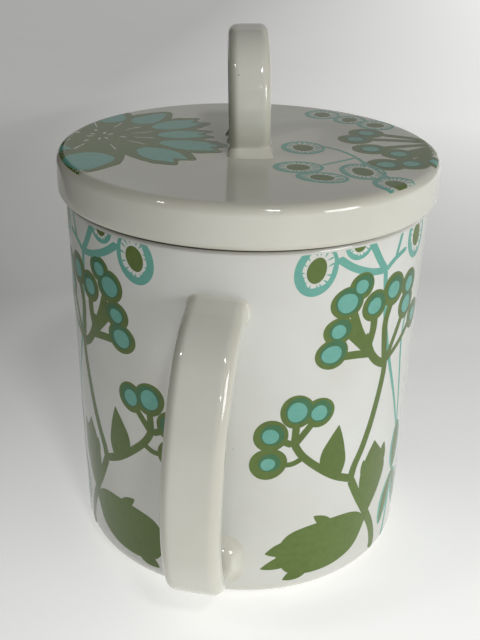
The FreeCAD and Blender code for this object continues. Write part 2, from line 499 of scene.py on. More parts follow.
@dataclass(frozen=True)
class PrintInk:
    """Ceramic transfer ink under the clear glaze: screen-printed, so it is flat, with a faint mottle."""

    name: str
    full: str
    starved: str
    mottle: float = 2.2
    broader: float = 14.0          # the broad mottle is this many times as coarse
    surface: GlossyGlaze = GlossyGlaze()

    def material(self) -> bpy.types.Material:
        """Two strengths of the ink, mixed by a fine noise and by a broad one."""
        material, place = new_material(self.name)
        tree = material.node_tree
        fine = add_node(tree, "ShaderNodeTexNoise", {"Scale": per_metre(self.mottle), "Detail": 3.0},
                        {"Vector": place})
        broad = add_node(tree, "ShaderNodeTexNoise",
                         {"Scale": per_metre(self.broader * self.mottle), "Detail": 1.0}, {"Vector": place})
        both = add_node(tree, "ShaderNodeMath", {"operation": "ADD"},
                        {0: fine.outputs[0], 1: broad.outputs[0]})
        share = add_node(tree, "ShaderNodeMapRange", {1: 0.75, 2: 1.3, 3: 0.0, 4: 1.0}, {0: both.outputs[0]})
        ink = add_node(tree, "ShaderNodeMix",
                       {"data_type": "RGBA", 6: linear(self.full), 7: linear(self.starved)},
                       {0: share.outputs[0]})
        return self.surface.finish(material, ink.outputs[2], place, self.surface.pinholes(tree, place))


@dataclass(frozen=True)
class BareClay:
    """Fired stoneware with the glaze wiped off, as on the foot ring: matt, buff and finely gritty."""

    name: str = "bare_clay"
    buff: str = "#C9BFA8"
    grit: str = "#9D917B"
    grain: float = 0.7
    grain_depth: float = 0.03

    def material(self) -> bpy.types.Material:
        """Grit of the two tones, which also roughens the surface."""
        material, place = new_material(self.name)
        tree = material.node_tree
        grain = add_node(tree, "ShaderNodeTexNoise", {"Scale": per_metre(self.grain), "Detail": 4.0},
                         {"Vector": place})
        share = add_node(tree, "ShaderNodeMapRange", {1: 0.5, 2: 0.75, 3: 0.0, 4: 1.0}, {0: grain.outputs[0]})
        clay = add_node(tree, "ShaderNodeMix",
                        {"data_type": "RGBA", 6: linear(self.buff), 7: linear(self.grit)},
                        {0: share.outputs[0]})
        relief = add_node(tree, "ShaderNodeBump", {"Strength": 1.0, "Distance": self.grain_depth * MM},
                          {"Height": grain.outputs[0]})
        shader = add_node(tree, "ShaderNodeBsdfPrincipled", {"Roughness": 0.85},
                          {"Base Color": clay.outputs[2], "Normal": relief.outputs[0]})
        add_node(tree, "ShaderNodeOutputMaterial", links={"Surface": shader.outputs[0]})
        return material


class Ink(Enum):
    """What the print's sheets are, each with its finish: the three inks, and gaps left in them."""

    OLIVE = PrintInk("olive_ink", "#546A24", "#5D742D")
    GREEN = PrintInk("dark_green_ink", "#356B42", "#3E724A")
    TURQUOISE = PrintInk("turquoise_ink", "#62A798", "#70AFA0")
    GAP = WhiteGlaze("gap_in_print")


# --- Pot, handle, lid and loop ------------------------------------------------------------------------


@dataclass
class Crock:
    """Tapered pot with its floor, rounded rim and foot ring, turned about Z as one piece."""

    height: float = top_of("crock_body")
    mouth_radius: float = 57.6
    base_radius: float = 54.4
    wall: float = 4.8
    floor_thickness: float = 6.0
    base_corner: float = 6.0
    inside_corner: float = 9.0
    rim_round: float = 1.8
    foot_radius: float = 46.5
    foot_width: float = 4.5
    foot_height: float = 1.2
    recess_height: float = 2.2
    foot_round: float = 0.5
    wiped_and_shaded_band: float = 0.8        # how far down from the rim's top the glaze was wiped off and the clay painted dark, partly wear and partly painted shade under the lid's edge
    bare_foot: float = 0.6         # share of the foot's height that is bare
    steps: int = 288

    def outside(self, angle: np.ndarray, height: np.ndarray) -> np.ndarray:
        """Radius of the wall: a straight taper, and a tenth of a millimetre of unevenness from the kiln."""
        share = (height - self.foot_height) / (self.height - self.foot_height)
        taper = self.base_radius + (self.mouth_radius - self.base_radius) * share
        return taper + self.uneven(angle, height)

    def uneven(self, angle: np.ndarray, height: np.ndarray) -> np.ndarray:
        """Change of radius: slow waves round the pot and up it."""
        return 0.10 * np.sin(2 * angle + height / 60) + 0.05 * np.sin(3 * angle - height / 35 + 1)

    def profile(self) -> tuple[np.ndarray, np.ndarray]:
        """From the middle of the floor inside, over the rim, down the wall and across the underside."""
        floor_top = self.recess_height + self.floor_thickness
        slope = (self.mouth_radius - self.base_radius) / (self.height - self.foot_height)
        floor_bore = self.base_radius + slope * (floor_top - self.foot_height) - self.wall
        foot_bore = self.foot_radius - self.foot_width
        return rounded_profile([
            (0, floor_top, 0),
            (floor_bore, floor_top, self.inside_corner),
            (self.mouth_radius - self.wall, self.height, self.rim_round),
            (self.mouth_radius, self.height, self.rim_round),
            (self.base_radius, self.foot_height, self.base_corner),
            (self.foot_radius, self.foot_height, self.foot_round),
            (self.foot_radius, 0, self.foot_round),
            (foot_bore, 0, self.foot_round),
            (foot_bore, self.recess_height, self.foot_round),
            (0, self.recess_height, 0),
        ], run=2.5)

    def build(self) -> bpy.types.Object:
        """Turns the pot and glazes it, all but the face that it stands on."""
        shell = Shell("crock_pot")
        profile, thin = self.profile()
        # the rim's top gets the dark seat colour: partly wear, partly painted shade in the joint under the
        # lid
        thin = np.where(profile[:, 1] > self.height - self.wiped_and_shaded_band, WIPED_AND_SHADED, thin)
        turned(shell, profile, thin, self.steps, self.uneven)
        pot = shell.object()
        pot.data.materials.append(WhiteGlaze("pot_glaze").material())
        pot.data.materials.append(BareClay().material())
        centres = np.empty(len(pot.data.polygons) * 3, np.float32)
        pot.data.polygons.foreach_get("center", centres)
        bare = centres.reshape(-1, 3)[:, 2] < self.bare_foot * self.foot_height * MM
        pot.data.polygons.foreach_set("material_index", bare.astype(np.int32))
        settle(pot, "crock", "crock_glaze", "crock_body")
        return pot


@dataclass
class SideHandle:
    """Flat strap bent into an ear: three tangent arcs, with each end luted to the wall by a little slip."""

    crock: Crock
    top: float = 106.5
    bottom: float = 12.0
    reach: float = 30.0
    strap: float = 7.6
    width: float = 17.2
    corner: float = 3.1
    crown: float = 0.05
    upper_slip: float = 1.0
    lower_slip: float = 6.2
    side_slip: float = 0.7
    lower_side_slip: float = 3.2
    upper_bend: float = 22.0
    side_bend: float = 66.0
    lower_bend: float = 18.0
    lean: float = 2.0
    outer_slip: float = 0.8        # the slip's swell on the outer face, as a share of the inner face's
    softer: float = 0.5            # how much the slip's swell adds to the edges' rounding
    sunk: float = 1.5
    blend: float = 11.0

    def path(self) -> tuple[np.ndarray, np.ndarray]:
        """Middle line of the strap and its outward normals, each (n, 2) as radius and height.

        The side arc leaves its level by the same angle at both ends, so that the heights close.

        Returns:
            Points and normals, closely spaced.
        """
        top, bottom = self.top - self.strap / 2, self.bottom + self.strap / 2
        reach = self.crock.mouth_radius + self.reach - self.strap / 2
        upper_gain, lower_gain = self.side_bend - self.upper_bend, self.side_bend - self.lower_bend
        sweep = math.asin((top - bottom - self.upper_bend - self.lower_bend) / (upper_gain + lower_gain))
        side = np.array([reach - self.side_bend, top - self.upper_bend - upper_gain * math.sin(sweep)])
        upper = np.array([side[0] + upper_gain * math.cos(sweep), top - self.upper_bend])
        lower = np.array([side[0] + lower_gain * math.cos(sweep), bottom + self.lower_bend])
        quarter = math.pi / 2
        root = self.crock.mouth_radius - 2 * self.crock.wall
        pieces = []
        for centre, radius, first, last in ((upper, self.upper_bend, quarter, sweep),
                                            (side, self.side_bend, sweep, -sweep),
                                            (lower, self.lower_bend, -sweep, -quarter)):
            angle = np.linspace(first, last, 200)[:-1]
            normal = np.stack([np.cos(angle), np.sin(angle)], axis=-1)
            pieces.append((centre + radius * normal, normal))
        for level, normal, ends in ((top, 1, (root, upper[0])), (bottom, -1, (lower[0], root))):
            run = np.linspace(*ends, 40)
            line = np.stack([run, np.full_like(run, level)], axis=-1)
            pieces.append((line, np.tile([0.0, normal], (len(run), 1))))
        ordered = [pieces[3], pieces[0], pieces[1], pieces[2], pieces[4]]
        return np.vstack([p for p, _ in ordered]), np.vstack([n for _, n in ordered])

    def stations(self, line: np.ndarray) -> tuple[np.ndarray, np.ndarray]:
        """Places along the path, close together where the ends meet the wall.

        Args:
            line: the path's points.

        Returns:
            Positions along the path's points, and each one's distance from the wall.
        """
        clear = line[:, 0] - self.crock.outside(np.zeros(len(line)), line[:, 1])
        middle = int(np.argmax(clear))
        index = np.arange(len(line))
        slip = self.lower_slip * (1 - np.cos(np.linspace(0, math.pi / 2, 15)))
        near = np.concatenate([[-self.sunk], slip, self.lower_slip + np.linspace(0, 8, 9)[1:]])
        upper = np.interp(near, clear[:middle], index[:middle])
        lower = np.interp(near, clear[:middle:-1], index[:middle:-1])[::-1]
        between = np.linspace(upper[-1], lower[0], 110)[1:-1]
        position = np.concatenate([upper, between, lower])
        return position, np.interp(position, index, clear)

    def build(self) -> bpy.types.Object:
        """Carries the strap's section along its path and fits its ends to the wall.

        Near an end, a point's distance from the wall blends from its own to the middle line's, so the
        last ring follows the wall, and the section swells by the fillet's concave arc.
        """
        line, normal = self.path()
        position, clear = self.stations(line)
        index = np.arange(len(line))
        centre = np.stack([np.interp(position, index, line[:, k]) for k in range(2)], axis=-1)
        facing = np.stack([np.interp(position, index, normal[:, k]) for k in range(2)], axis=-1)
        facing /= np.linalg.norm(facing, axis=1, keepdims=True)
        lower = position > len(line) / 2
        swell = np.where(lower, concave(clear, self.lower_slip), concave(clear, self.upper_slip))
        beside = np.where(lower, concave(clear, self.lower_side_slip), concave(clear, self.side_slip))
        half, corner = self.strap / 2, self.corner + self.softer * swell
        across, up, thin = strap_section(self.width / 2 + beside, -half - swell,
                                         half + self.outer_slip * swell, corner)
        up = up * (1 + self.crown * (1 - (across / (self.width / 2)) ** 2).clip(0))
        radius = centre[:, :1] + up * facing[:, :1]
        height = centre[:, 1:] + up * facing[:, 1:]
        tilt, waist = math.radians(self.lean), (self.top + self.bottom) / 2
        x = across * math.cos(tilt) + (height - waist) * math.sin(tilt)
        z = waist + (height - waist) * math.cos(tilt) - across * math.sin(tilt)
        angle = np.arctan2(x, radius)
        wall = np.sqrt(np.maximum(self.crock.outside(angle, z) ** 2 - x ** 2, 0))
        hold = np.clip(1 - clear / self.blend, 0, 1)[:, None]
        hold = hold * hold * (3 - 2 * hold)
        away = (radius - wall) * (1 - hold) + clear[:, None] * hold
        rings = np.stack([x, -(wall + away), z], axis=-1)
        shell = Shell("strap_handle")
        shell.capped(rings, rings[[0, -1]].mean(axis=1), np.tile(thin, len(rings)))
        handle = shell.object()
        handle.data.materials.append(WhiteGlaze("handle_glaze", "#DBDBD0", "#D3D2C6").material())
        settle(handle, "crock", "crock_glaze", "side_handle")
        return handle


@dataclass
class Lid:
    """Flat disc with a thick rim that seats on the pot, and a flange that hangs into its mouth."""

    crock: Crock
    top: float = top_of("lid")
    radius: float = 60.0
    plate: float = 6.0
    top_round: float = 3.0
    seat_round: float = 2.2
    flange_depth: float = 7.0
    flange_wall: float = 4.2
    flange_round: float = 1.4
    hollow_corner: float = 3.0
    clearance: float = 0.9
    wiped_and_shaded_band: float = 0.55       # the glaze was wiped off this near the seat's level, and the clay painted dark there: partly wear, partly painted shade in the joint
    wiped_and_shaded_width: float = 5.0       # and as far in as this from the mouth radius
    steps: int = 288

    def uneven(self, angle: np.ndarray, height: np.ndarray) -> np.ndarray:
        """Change of radius, the same at every height: the lid is not quite round."""
        return 0.08 * np.sin(2 * angle + 0.5) + 0.03 * np.sin(5 * angle) + 0 * height

    def profile(self) -> tuple[np.ndarray, np.ndarray]:
        """From the middle of the hollow underneath, round the flange and rim, to the middle of the top."""
        seat = self.crock.height
        flange = self.crock.mouth_radius - self.crock.wall - self.clearance
        hollow = flange - self.flange_wall
        ceiling = self.top - self.plate
        return rounded_profile([
            (0, ceiling, 0),
            (hollow, ceiling, self.hollow_corner),
            (hollow, seat - self.flange_depth, self.flange_round),
            (flange, seat - self.flange_depth, self.flange_round),
            (flange, seat, 0),
            (self.radius, seat, self.seat_round),
            (self.radius, self.top, self.top_round),
            (0, self.top, 0),
        ], run=2.5)

    def build(self) -> bpy.types.Object:
        """Turns the lid and glazes it."""
        shell = Shell("crock_lid")
        profile, thin = self.profile()
        # the seat gets the dark seat colour: partly wear, partly painted shade in the joint on the pot
        level = np.abs(profile[:, 1] - self.crock.height) < self.wiped_and_shaded_band
        seat_wiped_and_shaded = level & (profile[:, 0] > self.crock.mouth_radius - self.wiped_and_shaded_width)
        thin = np.where(seat_wiped_and_shaded, WIPED_AND_SHADED, thin)
        turned(shell, profile, thin, self.steps, self.uneven)
        lid = shell.object()
        lid.data.materials.append(WhiteGlaze("lid_glaze", "#DBDBD0", "#D3D2C6").material())
        settle(lid, "lid", "lid_glaze", "lid")
        return lid


@dataclass
class LidLoop:
    """Strap ring standing on the lid, its foot filled out with slip on all four sides."""

    lid: Lid
    radius: float = 19.5
    strap: float = 6.2
    width: float = 12.2
    corner: float = 2.6
    crown: float = 0.05
    sink: float = 2.0
    fillet: float = 2.2
    lean: float = 1.5
    turn: float = 11.5
    sunk: float = 0.8
    crown_fade: float = 0.2        # the crown dies away as the foot's arc leaves the circle by this much
    level_from: float = 20.0       # degrees below the ring's middle where its rounded edges turn level,
    level_over: float = 28.0       # and the degrees over which they do
    level_reach: float = 0.62      # sideways share of a direction that counts as fully sideways
    flare: float = 0.6             # sideways spread of the foot, as a share of the fillet

    def outline(self) -> tuple[np.ndarray, np.ndarray]:
        """The ring's outer edge about its centre: a circle, the foot's two concave arcs, and the lid's top.

        Along a concave arc the distance d solves |d * direction - arc centre| = fillet.

        Returns:
            Angles from the horizontal, anticlockwise, and the outer edge's distance at each.
        """
        rise = self.radius - self.sink - self.fillet
        span = math.sqrt((self.radius + self.fillet) ** 2 - rise ** 2)
        tangent = math.atan2(rise, span)
        landing = math.atan2(self.radius - self.sink, span)
        round_top = np.linspace(-tangent, math.pi + tangent, 150)
        left = np.linspace(math.pi + tangent, math.pi + landing, 9)
        under = np.linspace(math.pi + landing, 2 * math.pi - landing, 50)
        right = np.linspace(2 * math.pi - landing, 2 * math.pi - tangent, 9)
        arcs = [np.full(len(round_top), self.radius)]
        for angle, side in ((left, -1), (right, 1)):
            reach = side * span * np.cos(angle) - rise * np.sin(angle)
            arcs.append(reach - np.sqrt(np.maximum(reach ** 2 - span ** 2 - rise ** 2 + self.fillet ** 2, 0)))
        below = (self.radius - self.sink + self.sunk) / -np.sin(under)
        angles = np.concatenate([round_top, left[1:], under, right[:-1]])
        return angles, np.concatenate([arcs[0], arcs[1][1:], below, arcs[2][:-1]])

    def build(self) -> bpy.types.Object:
        """Fills the ring's section at each angle, then leans and turns it as it was set on the lid.

        A point's distance in from the outer edge is split in two: the part that its edge rounding gives
        up, and the rest. The rest is laid towards the ring's centre. The part given up is laid the same
        way high on the ring and level at its foot, so that the foot's edge keeps the lid's level there.
        """
        angle, outer = self.outline()
        inner = self.radius - self.strap
        across, out, thin = strap_section(self.width / 2, inner, outer, self.corner)
        half, middle = self.width / 2, inner + self.strap / 2
        round_part = np.clip(1 - (outer - self.radius) / self.crown_fade, 0, 1)[:, None]
        crown = self.crown * (1 - (across / half) ** 2).clip(0) * round_part
        out = out + (out - middle) * crown
        direction = np.stack([np.cos(angle), np.sin(angle)], axis=-1)[:, None, :]
        below = np.degrees(-np.arcsin(direction[..., 1]))
        lowness = np.clip((below - self.level_from) / self.level_over, 0, 1)
        sideways = (direction[..., 0] / self.level_reach).clip(-1, 1)
        level = np.stack([sideways, 0 * sideways], axis=-1)
        corner_way = direction * (1 - lowness[..., None]) + level * lowness[..., None]
        given_up = np.clip(outer[:, None] - out, 0, self.corner)
        rest = np.maximum(outer[:, None] - out, 0) - given_up
        spots = outer[:, None, None] * direction - given_up[..., None] * corner_way
        spots = spots - rest[..., None] * direction
        spots += np.maximum(out - outer[:, None], 0)[..., None] * direction
        y, above = spots[..., 0], spots[..., 1] + self.radius - self.sink
        beside = np.clip((np.abs(across) - half + self.corner) / self.corner, 0, 1)
        spread = self.flare * concave(above, self.fillet) * beside * (direction[..., 1] < 0)
        across = across + np.sign(across) * spread
        tilt, bearing = math.radians(-self.lean), math.radians(self.turn)
        x = across * math.cos(tilt) + above * math.sin(tilt)
        z = self.lid.top + above * math.cos(tilt) - across * math.sin(tilt)
        points = np.stack([x * math.cos(bearing) - y * math.sin(bearing),
                           x * math.sin(bearing) + y * math.cos(bearing), z], axis=-1)
        rows, columns = points.shape[:2]
        shell = Shell("lid_knob_loop")
        quads = grid_quads(rows, columns, wrap_rows=True, wrap_columns=True)
        shell.closed(points.reshape(-1, 3), quads, no_triangles(), np.tile(thin, rows))
        loop = shell.object()
        loop.data.materials.append(WhiteGlaze("loop_glaze", "#DBDBD0", "#D3D2C6").material())
        settle(loop, "lid", "lid_glaze", "lid_loop")
        return loop


# --- Print ----------------------------------------------------------------------------------------------


class Layer(Enum):
    """How far each layer of the print stands above the glaze, in millimetres."""

    UNDER = 0.016
    BASE = 0.030
    RING = 0.048
    CENTRE = 0.066


@dataclass(frozen=True)
class Place:
    """Where a motif is laid: its points are scaled, mirrored and then moved."""

    across: float = 0.0
    up: float = 0.0
    mirrored: bool = False
    scale: float = 1.0

    def __call__(self, spots: np.ndarray) -> np.ndarray:
        """The motif's (..., 2) points as pattern coordinates."""
        x = spots[..., 0] * self.scale * (-1 if self.mirrored else 1)
        return np.stack([self.across + x, self.up + spots[..., 1] * self.scale], axis=-1)


def smooth_line(points: list[tuple[float, float]], step: float = 1.1) -> np.ndarray:
    """Catmull-Rom curve through a few points.

    On each span it is the cubic whose slope at a point is half the chord between its neighbours.

    Args:
        points: two or more points.
        step: about how far apart the curve's points are.

    Returns:
        (n, 2) points.
    """
    knots = np.array(points, float)
    knots = np.vstack([2 * knots[0] - knots[1], knots, 2 * knots[-1] - knots[-2]])
    spans = []
    for a, b, c, d in zip(knots, knots[1:], knots[2:], knots[3:]):
        count = max(2, math.ceil(float(np.linalg.norm(c - b)) / step))
        t = (np.arange(count) / count)[:, None]
        spans.append(b + (c - a) / 2 * t + (2 * a - 5 * b + 4 * c - d) / 2 * t ** 2
                     + (3 * b - a - 3 * c + d) / 2 * t ** 3)
    return np.vstack(spans + [knots[-2:-1]])


class Print:
    """The transfer print on one body: each shape is a thin closed sheet in its ink's shell."""

    sunk = 0.05                    # depth of the sheets' undersides below the glaze
    finest = 1.5                   # widest cell across a band
    levels, level_step = 8, 0.0016     # sheets of a layer take turns at these levels, so that none coincide
    seed = 11
    border_slack = 1e-9
    stem_tip, blade_tip = 0.04, 0.03   # least half-widths, so that no quad closes up
    leaf_rows, leaf_columns = 34, 14
    heavy = 0.35                   # how much heavier and lighter a hoop's stroke gets, as a share
    heavy_side = 225.0             # degrees round to the side where it is heaviest

    def __init__(self, name: str, place_on: Callable[[np.ndarray, float], np.ndarray],
                 trim: Callable[[np.ndarray], np.ndarray]) -> None:
        """Starts an empty print.

        Args:
            name: start of its pieces' names.
            place_on: gives points on the ware, in millimetres, from pattern coordinates and a lift.
            trim: moves pattern coordinates that lie past the print's border onto it.
        """
        self.name = name
        self.place_on = place_on
        self.trim = trim
        self.shells: dict[Ink, Shell] = {}
        self.laid = 0
        self.random = np.random.default_rng(self.seed)

    def sheet(self, ink: Ink, layer: Layer, spots: np.ndarray, place: Place, wrap: bool = False) -> None:
        """Lays one shape: its grid of points goes on the ware, trimmed at the print's border.

        Args:
            ink: its ink.
            layer: its layer; sheets of one layer differ by a thousandth of a millimetre or so.
            spots: (rows, columns, 2) points of the motif.
            place: where the motif is laid.
            wrap: joins the last row to the first.
        """
        rows, columns = spots.shape[:2]
        spots = place(spots).reshape(-1, 2)
        held = self.trim(spots)
        inside = np.abs(held - spots).max(axis=1) < self.border_slack
        quads = grid_quads(rows, columns, wrap_rows=wrap)
        quads = quads[inside[quads].any(axis=1)]
        if not len(quads):
            return
        self.laid += 1
        lift = layer.value + self.laid % self.levels * self.level_step
        shell = self.shells.setdefault(ink, Shell(f"{self.name}_{ink.name.lower()}"))
        shell.plate(self.place_on(held, lift), self.place_on(held, -self.sunk), quads)

    def ribbon(self, ink: Ink, layer: Layer, line: np.ndarray, left: np.ndarray, right: np.ndarray,
               place: Place) -> None:
        """Lays a band along a line: each row of points runs from the left edge to the right edge.

        Args:
            ink: its ink.
            layer: its layer.
            line: (n, 2) middle line.
            left: half-width on the left at each point.
            right: half-width on the right at each point.
            place: where the motif is laid.
        """
        heading = np.gradient(line, axis=0)
        heading /= np.linalg.norm(heading, axis=1, keepdims=True)
        sideways = np.stack([-heading[:, 1], heading[:, 0]], axis=-1)
        widest = float((left + right).max()) * place.scale
        across = np.linspace(0, 1, max(3, math.ceil(widest / self.finest) + 1))[None, :]
        offset = (left + right)[:, None] * across - right[:, None]
        self.sheet(ink, layer, line[:, None, :] + offset[..., None] * sideways[:, None, :], place)

    def stem(self, ink: Ink, points: list[tuple[float, float]], start: float, end: float, place: Place,
             layer: Layer = Layer.BASE) -> None:
        """Lays a stem with round ends whose width goes from start to end.

        Args:
            ink: its ink.
            points: a few points that it passes through.
            start: width at the first point.
            end: width at the last point.
            place: where the motif is laid.
            layer: its layer.
        """
        line = smooth_line(points)
        travelled = np.concatenate([[0], np.cumsum(np.linalg.norm(np.diff(line, axis=0), axis=1))])
        half = (start + (end - start) * travelled / travelled[-1]) / 2
        from_end = np.minimum(travelled, travelled[-1] - travelled)
        rounding = np.sqrt(1 - (1 - np.clip(from_end / half, 0, 1)) ** 2)
        half = np.maximum(half * rounding, self.stem_tip)
        self.ribbon(ink, layer, line, half, half, place)

    def leaf(self, ink: Ink, first: list[tuple[float, float]], second: list[tuple[float, float]],
             place: Place) -> None:
        """Lays a leaf: straight rows from one of its edges to the other.

        Args:
            ink: its ink.
            first: a few points of one edge, from base to tip.
            second: a few points of the other edge, from base to tip.
            place: where the motif is laid.
        """
        share = np.linspace(0, 1, self.leaf_rows)
        edges = []
        for points in (first, second):
            line = smooth_line(points)
            along = np.concatenate([[0], np.cumsum(np.linalg.norm(np.diff(line, axis=0), axis=1))])
            edge = [np.interp(share * along[-1], along, line[:, k]) for k in range(2)]
            edges.append(np.stack(edge, axis=-1)[:, None, :])
        across = np.linspace(0, 1, self.leaf_columns)[None, :, None]
        self.sheet(ink, Layer.BASE, edges[0] * (1 - across) + edges[1] * across, place)

    def blade(self, ink: Ink, points: list[tuple[float, float]], left: float, right: float, place: Place,
              layer: Layer = Layer.BASE, belly: float = 1.0, fullness: float = 0.8) -> None:
        """Lays a leaf, petal or lobe: half-width = widest * sin(pi * share^belly)^fullness along its line.

        Args:
            ink: its ink.
            points: a few points of its middle line, from base to tip.
            left: widest half-width on the left.
            right: widest half-width on the right.
            place: where the motif is laid.
            layer: its layer.
            belly: under 1 the widest place is nearer the base, over 1 nearer the tip.
            fullness: smaller is blunter.
        """
        line = smooth_line(points)
        share = np.linspace(0, 1, len(line))
        width = np.sin(math.pi * share ** belly).clip(0) ** fullness
        self.ribbon(ink, layer, line, np.maximum(left * width, self.blade_tip),
                    np.maximum(right * width, self.blade_tip), place)

    def disc(self, ink: Ink, layer: Layer, centre: tuple[float, float], half: tuple[float, float],
             tilt: float, place: Place, wobble: float = 0.03) -> None:
        """Lays an ellipse, a little uneven as if cut by hand.

        A square grid a, b from -1 to 1 is pressed round:
        x = a * sqrt(1 - b^2 / 2), y = b * sqrt(1 - a^2 / 2).

        Args:
            ink: its ink.
            layer: its layer.
            centre: its centre.
            half: its half-sizes across and up, before it is tilted.
            tilt: degrees that it is tilted, anticlockwise.
            place: where the motif is laid.
            wobble: unevenness of the edge, as a share of its size.
        """
        cells = max(8, math.ceil(max(half) * place.scale * 2))
        side = np.linspace(-1, 1, cells + 1)
        a, b = np.meshgrid(side, side)
        x, y = a * np.sqrt(1 - b ** 2 / 2), b * np.sqrt(1 - a ** 2 / 2)
        phase = self.random.uniform(0, 2 * math.pi, 2)
        around = np.arctan2(y, x)
        edge = 1 + wobble * (0.6 * np.sin(2 * around + phase[0]) + 0.4 * np.sin(3 * around + phase[1]))
        self.sheet(ink, layer, self.turned_about(centre, x * edge * half[0], y * edge * half[1], tilt), place)

    @staticmethod
    def turned_about(centre: tuple[float, float], x: np.ndarray, y: np.ndarray, tilt: float) -> np.ndarray:
        """Points x, y turned by tilt degrees and moved to centre, as one array."""
        angle = math.radians(tilt)
        return np.stack([centre[0] + x * math.cos(angle) - y * math.sin(angle),
                         centre[1] + x * math.sin(angle) + y * math.cos(angle)], axis=-1)

    def hoop(self, centre: tuple[float, float], half: tuple[float, float], stroke: float, tilt: float,
             place: Place) -> None:
        """Lays a turquoise elliptical ring whose stroke is heavier on its lower left.

        Args:
            centre: its centre.
            half: half-sizes of its outer edge.
            stroke: mean width of the stroke.
            tilt: degrees that it is tilted, anticlockwise.
            place: where the motif is laid.
        """
        around = np.linspace(0, 2 * math.pi, 56, endpoint=False)[:, None]
        phase = self.random.uniform(0, 2 * math.pi)
        uneven = 0.1 * np.sin(5 * around + phase)
        width = stroke * (1 + self.heavy * np.cos(around - math.radians(self.heavy_side - tilt)) + uneven)
        inward = width * np.linspace(0, 1, 3)[None, :]
        x, y = (half[0] - inward) * np.cos(around), (half[1] - inward) * np.sin(around)
        self.sheet(Ink.TURQUOISE, Layer.BASE, self.turned_about(centre, x, y, tilt), place, wrap=True)

    def berry(self, centre: tuple[float, float], radius: float, place: Place, eye: float = 0.58,
              squash: float = 1.0) -> None:
        """Lays a berry: an olive disc, a dark green one set to one side, and a turquoise eye.

        Args:
            centre: its centre.
            radius: radius of the olive disc.
            place: where the motif is laid.
            eye: radius of the eye, as a share of the berry's.
            squash: width of the berry as a share of its height.
        """
        across, shade = radius * squash, eye * radius + 1.1
        aside = (centre[0] + 0.45, centre[1] + 0.35)
        self.disc(Ink.OLIVE, Layer.BASE, centre, (across, radius), 0, place)
        self.disc(Ink.GREEN, Layer.RING, aside, (shade * squash, shade), 0, place)
        self.disc(Ink.TURQUOISE, Layer.CENTRE, (centre[0] - 0.1, centre[1] - 0.1),
                  (across * eye, radius * eye), 0, place, 0.05)

    def ring_flower(self, centre: tuple[float, float], half: tuple[float, float], tilt: float,
                    place: Place, stroke: float = 1.5, rays: int = 15) -> None:
        """Lays a ring flower: a turquoise hoop, an olive middle, and short tapering rays between them.

        Args:
            centre: its centre.
            half: half-sizes of its outer edge.
            tilt: degrees that it is tilted, anticlockwise.
            place: where the motif is laid.
            stroke: mean width of the hoop.
            rays: how many rays.
        """
        self.hoop(centre, half, stroke, tilt, place)
        middle = (0.45 * half[0], 0.5 * half[1])
        self.disc(Ink.OLIVE, Layer.RING, centre, middle, tilt, place)
        for ray in range(rays):
            angle = 2 * math.pi * (ray + self.random.uniform(-0.2, 0.2)) / rays
            lean = angle + self.random.uniform(-0.12, 0.12)
            ends = np.array([[(half[0] - 0.5 * stroke) * math.cos(angle), middle[0] * 1.12 * math.cos(lean)],
                             [(half[1] - 0.5 * stroke) * math.sin(angle), middle[1] * 1.12 * math.sin(lean)]])
            ends = self.turned_about(centre, ends[0], ends[1], tilt)
            self.stem(Ink.TURQUOISE, [tuple(ends[0]), tuple(ends[1])], 0.7, 0.3, place, Layer.UNDER)

    def petal(self, ink: Ink, layer: Layer, bearing: float, start: float, end: float, half_width: float,
              place: Place, lobes: int, notch: float) -> None:
        """Lays a daisy's petal, which widens outwards and ends in round lobes.

        Across it runs t from 0 to 1 and along it s from 0 to 1. The length is end - notch * (1 +
        cos(2 pi lobes t)) / 2, and the half-width is half_width * (0.22 + 0.78 sin(0.62 pi s^0.8)).

        Args:
            ink: its ink.
            layer: its layer.
            bearing: its direction from the daisy's centre, in degrees.
            start: distance of its base from the centre.
            end: distance of its lobes' tips from the centre.
            half_width: widest half-width.
            place: where the motif is laid.
            lobes: how many lobes its tip has.
            notch: depth of the notches between the lobes, and of its shoulders.
        """
        t = np.linspace(0, 1, 25)[None, :]
        s = np.linspace(0, 1, 26)[:, None]
        reach = end - notch * (1 + np.cos(2 * math.pi * lobes * t)) / 2
        reach = reach - 0.9 * notch * np.abs(2 * t - 1) ** 3
        out = start + (reach - start) * s
        aside = half_width * (2 * t - 1) * (0.22 + 0.78 * np.sin(0.62 * math.pi * s ** 0.8))
        self.sheet(ink, layer, self.turned_about((0, 0), out, aside, bearing), place)

    def daisy(self, place: Place, petals: list[tuple[float, float, float, int]], heart: float) -> None:
        """Lays a daisy about its place's origin, with small gaps in the olive of its heart.

        Args:
            place: where its centre is laid.
            petals: bearing, length, half-width and number of lobes of each petal.
            heart: radius of the middle where the petals join.
        """
        border = 2.7                   # olive left round a petal's turquoise
        self.disc(Ink.OLIVE, Layer.BASE, (0, 0), (heart, heart), 0, place)
        for bearing, length, half_width, lobes in petals:
            notch = 3.2 if lobes > 1 else 5.0
            self.petal(Ink.OLIVE, Layer.BASE, bearing, heart * 0.6, length, half_width, place, lobes, notch)
            self.petal(Ink.TURQUOISE, Layer.RING, bearing, heart + 0.36 * (length - heart), length - border,
                       half_width - border, place, lobes, notch)
        for dot in range(9):
            angle = math.radians(40 * dot + self.random.uniform(-8, 8))
            out = heart * (0.45 if dot % 3 else 0.9)
            spot = (out * math.cos(angle), out * math.sin(angle))
            self.disc(Ink.GAP, Layer.CENTRE, spot, (1.1, 0.45), math.degrees(angle), place)
        bearings = [petal[0] for petal in petals]
        for first, second in zip(bearings, bearings[1:]):
            angle = math.radians((first + second) / 2)
            way = np.array([math.cos(angle), math.sin(angle)])
            line = [tuple(way * heart * reach) for reach in (1.3, 1.7, 2.2)]
            self.stem(Ink.GAP, line, 0.3, 0.7, place, Layer.CENTRE)

